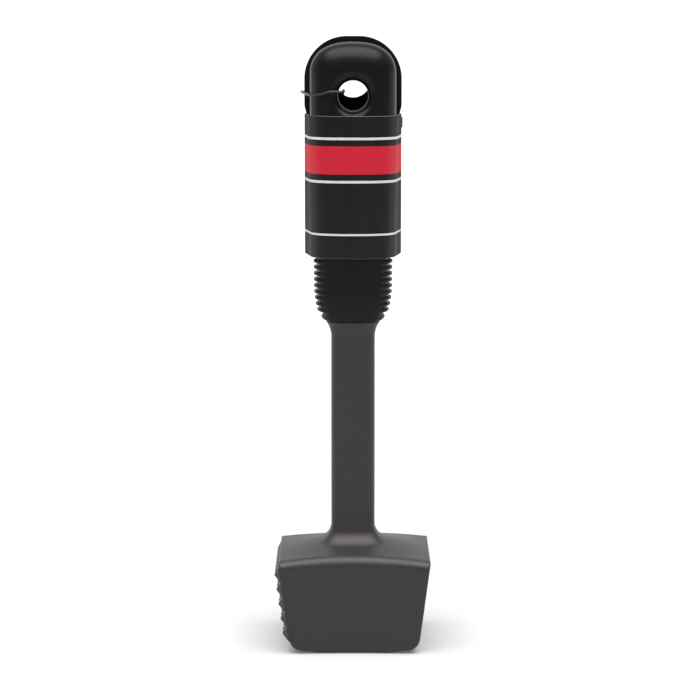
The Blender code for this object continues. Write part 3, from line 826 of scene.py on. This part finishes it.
def grip_halves(height, sizes):
    """Half width and half depth of the grip at a height above its base."""
    half_width = grip_half_size(
        height, sizes.neck_width / 2, sizes.lip_width, sizes.shoulder_width / 2, sizes.width / 2, sizes
    )
    half_depth = grip_half_size(
        height, sizes.neck_depth / 2, sizes.lip_depth, sizes.shoulder_depth / 2, sizes.depth / 2, sizes
    )
    return half_width, half_depth


def grip_loop(bm, height, slot, sizes):
    """Grip outline at a height, with its sides drawn in by a share of the slot depth."""
    half_width, half_depth = grip_halves(height, sizes)
    loop = oval_loop(bm, half_width, half_depth, GRIP_LOW[2] + height, sizes.oval, GRIP_SEGMENTS)
    fade = sizes.fade * half_width
    squeeze = slot * sizes.fin_slot / (half_width - fade)
    for vert in loop_verts(loop):
        past = abs(vert.co.x) - fade
        if slot and past > 0:
            eased = past * past / (past + sizes.fin_ease)
            vert.co.x -= math.copysign(eased * squeeze, vert.co.x)
    return loop


def make_grip(sizes):
    """Grip lofted from its lip over the fins and the plain oval to the cap, still without its hollows."""
    total = GRIP_HIGH[2] - GRIP_LOW[2]
    bm = bmesh.new()
    loops = [grip_loop(bm, sizes.lip_height * share, 0.0, sizes) for share in LIP_SHARES]
    profile = FIN_PROFILE + tuple((-share, slot) for share, slot in reversed(FIN_PROFILE[1:-1]))
    count = int(sizes.fin_zone / sizes.fin_pitch)
    for fin in range(count):
        for share, slot in profile:
            height = sizes.fin_start + (fin + share) * sizes.fin_pitch
            loops.append(grip_loop(bm, height, slot, sizes))
    fin_end = sizes.fin_start + (count - 1 + FIN_END) * sizes.fin_pitch
    straight_end = total - sizes.cap
    for step in range(1, BODY_STEPS + 1):
        height = fin_end + (straight_end - fin_end) * step / BODY_STEPS
        loops.append(grip_loop(bm, height, 0.0, sizes))
    for degrees in CAP_TURNS:
        height = straight_end + sizes.cap * math.sin(math.radians(degrees))
        loops.append(grip_loop(bm, height, 0.0, sizes))
    skin(bm, loops)
    return new_piece("soft_grip", bm)


def hole_centre(sizes):
    """Height of the middle of the hang hole."""
    return GRIP_HIGH[2] - sizes.hole_from_top


def make_hole_cutter(sizes):
    """Turned hole with rounded mouths, bent to follow the oval front and back of the grip."""
    edge = sizes.depth / 2
    profile = [(0.0, -2 * edge), (sizes.hole_radius + sizes.hole_fillet, -2 * edge)]
    for degrees in range(90, -1, -9):
        turn = math.radians(degrees)
        radius = sizes.hole_radius + sizes.hole_fillet * (1 - math.cos(turn))
        profile.append((radius, -edge + sizes.hole_fillet * (1 - math.sin(turn))))
    profile += [(radius, -y) for radius, y in reversed(profile)]
    bm = bmesh.new()
    verts = [bm.verts.new((radius, y, 0.0)) for radius, y in profile]
    edges = [bm.edges.new(pair) for pair in zip(verts, verts[1:])]
    bmesh.ops.spin(
        bm,
        geom=verts + edges,
        cent=(0.0, 0.0, 0.0),
        axis=(0.0, 1.0, 0.0),
        angle=2 * math.pi,
        steps=HOLE_SEGMENTS,
        use_merge=True,
    )
    bmesh.ops.remove_doubles(bm, verts=bm.verts, dist=WELD)
    for vert in bm.verts:
        share = min(0.9, abs(vert.co.x) / (sizes.width / 2))
        vert.co.y *= oval_rise(share, sizes.oval)
    bmesh.ops.translate(bm, verts=bm.verts, vec=(0.0, 0.0, hole_centre(sizes)))
    return new_piece("hole_cutter", bm)


def make_core_seat(sizes):
    """Room for the handle core inside the grip, with the hang hole's lining left standing."""
    bm = bmesh.new()
    loops = []
    top = CORE_HIGH[2] - GRIP_LOW[2] + FIT_GAP
    shoulder = sizes.shoulder_height
    for height in (-sizes.wall, sizes.lip_height, shoulder / 2, shoulder, sizes.taper_end, top):
        half_width, half_depth = grip_halves(max(height, FIT_GAP), sizes)
        half_width += FIT_GAP - sizes.fin_wall
        half_depth += FIT_GAP - sizes.wall
        loops.append(oval_loop(bm, half_width, half_depth, GRIP_LOW[2] + height, sizes.oval, SEAT_SEGMENTS))
    skin(bm, loops)
    seat = new_piece("core_seat", bm)
    lining = cross_cylinder(sizes.hole_radius + sizes.lining, 2 * sizes.depth, hole_centre(sizes))
    combine(seat, "DIFFERENCE", new_piece("hole_lining", lining))
    return seat


def make_card(sizes, grip):
    """Board with a rounded top, narrowed where the band takes it, and its punched hole."""
    half = CARD_HIGH[0]
    tucked = BAND_HIGH[0] - sizes.board - FIT_GAP
    band_top = BAND_HIGH[2]
    side = [
        (tucked, CARD_LOW[2]),
        (tucked, band_top),
        (half - sizes.card_tuck / 2, band_top + sizes.card_shoulder),
        (half, CARD_HIGH[2]),
    ]
    bm = front_face(side + [(-x, z) for x, z in reversed(side)], CARD_LOW[1])
    corners = [vert for vert in bm.verts if vert.co.z > CARD_HIGH[2] - NEAR]
    soften(bm, corners, sizes.card_corner, 28, "VERTICES")
    sweep_back(bm, CARD_HIGH[1] - CARD_LOW[1])
    card = new_piece("shop_card", bm)
    punch = cross_cylinder(sizes.card_hole, 3 * grip.depth, hole_centre(grip) + sizes.card_hole_rise)
    combine(card, "DIFFERENCE", new_piece("card_punch", punch))
    return card


def make_band(sizes, grip):
    """Board pulled taut round the grip's front and the card's edges, and narrower below like the grip."""
    half_width = grip.width / 2 + FIT_GAP
    half_depth = grip.depth / 2 + FIT_GAP
    inner = BAND_HIGH[0] - sizes.board
    back = BAND_HIGH[1] - sizes.board
    bm = bmesh.new()
    for height in (BAND_LOW[2], BAND_HIGH[2]):
        oval_loop(bm, half_width, half_depth, height, grip.oval, BAND_SEGMENTS)
        for x in (-inner, inner):
            for y in (CARD_LOW[1], back):
                bm.verts.new((x, y, height))
    hull = bmesh.ops.convex_hull(bm, input=bm.verts, use_existing_faces=False)
    spare = set(hull["geom_interior"]) | set(hull["geom_unused"])
    bmesh.ops.delete(bm, geom=only_verts(spare), context="VERTS")
    bmesh.ops.dissolve_limit(bm, angle_limit=math.radians(0.2), verts=bm.verts, edges=bm.edges)
    ends = [face for face in bm.faces if abs(face.normal.z) > 0.9]
    bmesh.ops.delete(bm, geom=ends, context="FACES_ONLY")
    narrowing = 1 - sizes.band_taper / half_width
    lower = [vert for vert in bm.verts if vert.co.z < BAND_LOW[2] + FIT_GAP]
    lower_front = [vert for vert in lower if vert.co.y < CARD_LOW[1] - FIT_GAP]
    bmesh.ops.scale(bm, verts=lower_front, vec=(narrowing, narrowing, 1.0))
    folds = [edge for edge in bm.edges if len(edge.link_faces) == 2 and edge.calc_face_angle() > 0.3]
    soften(bm, folds, sizes.fold_round, 4)
    band = new_piece("printed_band", bm)
    wall = band.modifiers.new("board", "SOLIDIFY")
    wall.thickness = sizes.board
    wall.offset = 1.0
    wall.use_even_offset = True
    wall_round = band.modifiers.new("board_edge", "BEVEL")
    wall_round.limit_method = "ANGLE"
    wall_round.angle_limit = math.radians(60)
    wall_round.width = sizes.board_round
    wall_round.segments = 3
    settle(band)
    return band


def make_flap(sizes):
    """Glued overlap of the band's end on its back."""
    bm = bmesh.new()
    height = BAND_HIGH[2] - BAND_LOW[2] - 2 * sizes.flap_inset
    x = -sizes.flap_width / 2 - sizes.flap_offset
    y = BAND_HIGH[1] + sizes.flap_glue + sizes.flap_thickness / 2
    middle = Matrix.Translation((x, y, (BAND_LOW[2] + BAND_HIGH[2]) / 2))
    size = Matrix.Diagonal((sizes.flap_width, sizes.flap_thickness, height, 1.0))
    bmesh.ops.create_cube(bm, size=1.0, matrix=middle @ size)
    soften(bm, rising_edges(bm, height / 2), sizes.flap_round, 2)
    return new_piece("band_flap", bm)


def tie_route(sizes, grip):
    """Centre line of the tie from its lock, round the card's left edge, through the hang hole and back."""
    off = sizes.tie_radius + FIT_GAP
    hole = hole_centre(grip)
    back = BAND_HIGH[1] + off
    edge = CARD_LOW[0] - off
    lane = sizes.tie_side - grip.hole_radius
    lock_z = (LOCK_LOW[2] + LOCK_HIGH[2]) / 2 - hole
    near_lock = LOCK_LOW[0] - FIT_GAP
    card_middle = (CARD_LOW[1] + CARD_HIGH[1]) / 2
    route = [
        (near_lock, back, lock_z - 1.2 * MM),
        (0.35 * near_lock, back, lock_z + 2.2 * MM),
        (0.5 * edge, back, -3.0 * MM),
        (edge + 2.2 * MM, back - 0.2 * MM, 0.4 * MM),
        (edge + 0.2 * MM, card_middle + 1.3 * off, 0.75 * MM),
        (edge - 0.1 * MM, card_middle - off, 0.8 * MM),
    ]
    rise = sizes.tie_rise
    start = 0.3 * MM
    for share in (0.99, 0.9, 0.7, 0.5):
        climb = (2 * (1 - share)) ** 2
        x = -share * (grip.width / 2 + off)
        y = -(grip.depth / 2 + off) * oval_rise(share, grip.oval)
        route.append((x, y, start + (rise - start) * climb))
    mouth = -grip.depth / 2
    route += [
        (lane - 0.9 * MM, mouth - 0.2 * MM, rise),
        (lane, mouth + 1.8 * MM, rise),
        (lane, 0.0, rise),
        (lane, CARD_LOW[1] - 1.0 * MM, rise - 0.2 * MM),
        (lane - 0.2 * MM, CARD_LOW[1] + 1.0 * MM, rise - 0.9 * MM),
        (lane + 0.6 * MM, back, -3.0 * MM),
        (0.45 * near_lock, back, lock_z + 5.6 * MM),
        (near_lock, back, lock_z + 1.2 * MM),
    ]
    return [Vector(point) + Vector((0.0, 0.0, hole)) for point in route]


def smooth_route(points, steps):
    """Catmull-Rom samples through the points."""
    padded = [2 * points[0] - points[1]] + points + [2 * points[-1] - points[-2]]
    samples = []
    for p0, p1, p2, p3 in zip(padded, padded[1:], padded[2:], padded[3:]):
        for step in range(steps):
            t = step / steps
            ease = 2 * p1 + (p2 - p0) * t + (2 * p0 - 5 * p1 + 4 * p2 - p3) * t**2
            samples.append((ease + (3 * p1 - p0 - 3 * p2 + p3) * t**3) / 2)
    samples.append(points[-1])
    return samples


def make_tie(sizes, grip):
    """Plastic filament swept along its route, as a mesh."""
    curve = bpy.data.curves.new("tie_path", "CURVE")
    curve.dimensions = "3D"
    curve.bevel_depth = sizes.tie_radius
    curve.bevel_resolution = 6
    curve.use_fill_caps = True
    samples = smooth_route(tie_route(sizes, grip), TIE_STEPS)
    spline = curve.splines.new("POLY")
    spline.points.add(len(samples) - 1)
    for point, sample in zip(spline.points, samples):
        point.co = (*sample, 1.0)
    path = new_object("tie_path", curve)
    mesh = shown_mesh(path)
    bpy.data.objects.remove(path)
    bm = bmesh.new()
    bm.from_mesh(mesh)
    bmesh.ops.remove_doubles(bm, verts=bm.verts, dist=TIE_WELD)
    return new_piece("tie_filament", bm)


def make_lock(sizes):
    """Two-part lock bead with a groove round its joint."""
    low, high = Vector(LOCK_LOW), Vector(LOCK_HIGH)
    size = high - low
    bm = bmesh.new()
    bmesh.ops.create_cube(bm, size=1.0, matrix=Matrix.Diagonal((*size, 1.0)))
    soften(bm, bm.edges[:], sizes.lock_round, 5)
    for share in (-1.0, -0.4, 0.4, 1.0):
        cut_across(bm, bm.faces, "X", share * sizes.lock_groove)
    groove = [vert for vert in bm.verts if abs(vert.co.x) < sizes.lock_groove / 2]
    bmesh.ops.scale(bm, verts=groove, vec=LOCK_NECK)
    bmesh.ops.translate(bm, verts=bm.verts, vec=(low + high) / 2)
    return new_piece("tie_bead", bm)


def add_light(name, place, aim, width, height, radiance):
    """Soft box at a place, turned to the aim, with a given brightness of its face."""
    light = bpy.data.lights.new(name, "AREA")
    light.shape = "RECTANGLE"
    light.size = width
    light.size_y = height
    light.energy = radiance * math.pi * width * height
    lamp = new_object(name, light)
    lamp.location = place
    lamp.rotation_euler = (Vector(aim) - Vector(place)).to_track_quat("-Z", "Y").to_euler()


def make_world():
    """White surroundings behind the object, darker beside it and on the camera's side."""
    world = bpy.data.worlds.new("studio")
    bpy.context.scene.world = world
    world.use_nodes = True
    tree = world.node_tree
    background = tree.nodes["Background"]
    background.inputs["Color"].default_value = shade(WHITE, 1.0)
    direction = Signal.add(tree, "ShaderNodeTexCoord", {}, {}, "Generated")
    behind = direction.axis("Y").ramp(0.25, 0.9)
    glow = FRONT_GLOW + (BACK_GLOW - FRONT_GLOW) * behind
    tree.links.new(glow.socket, background.inputs["Strength"])


def floor_finish():
    """Pale paper, lit a little more by itself further out, so that it meets the white surroundings."""
    finish = Finish("floor_paper", Roughness=0.8, Emission_Strength=1.0)
    distance = finish.place.node("ShaderNodeVectorMath", {"operation": "LENGTH"}, {0: finish.place}, "Value")
    behind = finish.place.axis("Y").ramp(-1.0, 0.3)
    speckle = finish.place.noise(300.0, 2.0)
    return finish.feed(
        Base_Color=speckle.tint(WHITE, 0.52, 0.56),
        Emission_Color=(distance.ramp(0.1, 1.2) * behind).tint(WHITE, 0.1, 0.9),
    )


def make_floor(sizes):
    """Wide flat floor just under the head."""
    bm = bmesh.new()
    place = Matrix.Translation((0.0, 0.0, -sizes.floor_drop))
    bmesh.ops.create_grid(bm, x_segments=1, y_segments=1, size=sizes.floor / 2, matrix=place)
    mesh = bpy.data.meshes.new("floor")
    bm.to_mesh(mesh)
    bm.free()
    mesh.materials.append(floor_finish())
    return new_object("floor", mesh)


def make_camera(sizes):
    """Camera that looks down on the middle of the view."""
    aim = Vector((sizes.aim_x, 0.0, sizes.aim_z))
    view = Vector((0.0, math.cos(sizes.elevation), -math.sin(sizes.elevation)))
    camera = new_object("photo_camera", bpy.data.cameras.new("photo_camera"))
    camera.data.lens = sizes.lens
    camera.data.clip_end = sizes.far_clip
    camera.location = aim - sizes.distance * view
    camera.rotation_euler = view.to_track_quat("-Z", "Y").to_euler()
    bpy.context.scene.camera = camera


class MALLET_OT_stage(bpy.types.Operator):
    """Camera at the photograph's angle, pale floor and soft studio light"""

    bl_idname = "mallet.stage"
    bl_label = "Stage"

    def execute(self, context):
        sizes = context.scene.mallet_stage
        make_world()
        context.scene.view_settings.view_transform = "Standard"
        make_camera(sizes)
        make_floor(sizes)
        for name, settings in LIGHTS.items():
            add_light(name, *settings)
        return {"FINISHED"}


class MALLET_OT_casting(bpy.types.Operator):
    """Cast head with its teeth, shaft, collar and tang"""

    bl_idname = "mallet.casting"
    bl_label = "Casting"

    def execute(self, context):
        sizes = context.scene.mallet_casting
        casting = make_head_block(sizes)
        combine(casting, "UNION", make_teeth(sizes))
        combine(casting, "UNION", make_shaft(sizes))
        finish = casting_finish(context.scene.mallet_colours)
        dress(casting, finish, "mallet", "head_casting", 24.0)
        return {"FINISHED"}


class MALLET_OT_grip(bpy.types.Operator):
    """Soft grip with its side fins and hang hole"""

    bl_idname = "mallet.grip"
    bl_label = "Grip"

    def execute(self, context):
        sizes = context.scene.mallet_grip
        grip = make_grip(sizes)
        combine(grip, "DIFFERENCE", make_core_seat(sizes))
        combine(grip, "DIFFERENCE", make_hole_cutter(sizes))
        dress(grip, rubber_finish(context.scene.mallet_colours), "mallet", "grip", 45.0)
        return {"FINISHED"}


class MALLET_OT_sleeve(bpy.types.Operator):
    """Backing card and the printed band round it and the grip"""

    bl_idname = "mallet.sleeve"
    bl_label = "Card and band"

    def execute(self, context):
        scene = context.scene
        card = make_card(scene.mallet_sleeve, scene.mallet_grip)
        dress(card, card_finish(scene.mallet_colours), "sleeve", "backing_card")
        finish = band_finish(scene.mallet_colours)
        band = make_band(scene.mallet_sleeve, scene.mallet_grip)
        dress(band, finish, "sleeve", "wrap_band")
        flap = make_flap(scene.mallet_sleeve)
        dress(flap, finish, "sleeve", "wrap_band")
        return {"FINISHED"}


class MALLET_OT_tie(bpy.types.Operator):
    """Plastic tie through the hang hole, and its lock"""

    bl_idname = "mallet.tie"
    bl_label = "Tie"

    def execute(self, context):
        scene = context.scene
        finish = tie_finish(scene.mallet_colours)
        tie = make_tie(scene.mallet_sleeve, scene.mallet_grip)
        dress(tie, finish, "sleeve", "tie_loop")
        dress(make_lock(scene.mallet_sleeve), finish, "sleeve", "tie_lock")
        return {"FINISHED"}


class MALLET_OT_inside(bpy.types.Operator):
    """Finishes of the core and the cross pins inside the handle"""

    bl_idname = "mallet.inside"
    bl_label = "Inside finishes"

    def execute(self, context):
        colours = context.scene.mallet_colours
        steel = steel_finish(colours)
        finishes = {"handle_core": core_finish(colours), "tang_pin_lower": steel, "tang_pin_upper": steel}
        for node, material in finishes.items():
            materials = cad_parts[node].data.materials
            materials.clear()
            materials.append(material)
        return {"FINISHED"}


OPERATORS = (
    MALLET_OT_stage,
    MALLET_OT_casting,
    MALLET_OT_grip,
    MALLET_OT_sleeve,
    MALLET_OT_tie,
    MALLET_OT_inside,
)


class MALLET_PT_panel(bpy.types.Panel):
    """Builds the mallet's pieces one by one"""

    bl_idname = "MALLET_PT_panel"
    bl_label = "Meat Mallet"
    bl_space_type = "VIEW_3D"
    bl_region_type = "UI"
    bl_category = "Mallet"

    def draw(self, context):
        for operator in OPERATORS:
            self.layout.operator(operator.bl_idname)


GROUPS = {
    "mallet_casting": MalletCastingSizes,
    "mallet_grip": MalletGripSizes,
    "mallet_sleeve": MalletSleeveSizes,
    "mallet_colours": MalletColours,
    "mallet_stage": MalletStageSizes,
}


def register():
    for name, group in GROUPS.items():
        bpy.utils.register_class(group)
        setattr(bpy.types.Scene, name, bpy.props.PointerProperty(type=group))
    for operator in OPERATORS:
        bpy.utils.register_class(operator)
    bpy.utils.register_class(MALLET_PT_panel)


def unregister():
    bpy.utils.unregister_class(MALLET_PT_panel)
    for operator in reversed(OPERATORS):
        bpy.utils.unregister_class(operator)
    for name, group in GROUPS.items():
        delattr(bpy.types.Scene, name)
        bpy.utils.unregister_class(group)


def main():
    register()
    bpy.ops.mallet.stage()
    bpy.ops.mallet.casting()
    bpy.ops.mallet.grip()
    bpy.ops.mallet.sleeve()
    bpy.ops.mallet.tie()
    bpy.ops.mallet.inside()


if __name__ == "__main__":
    main()
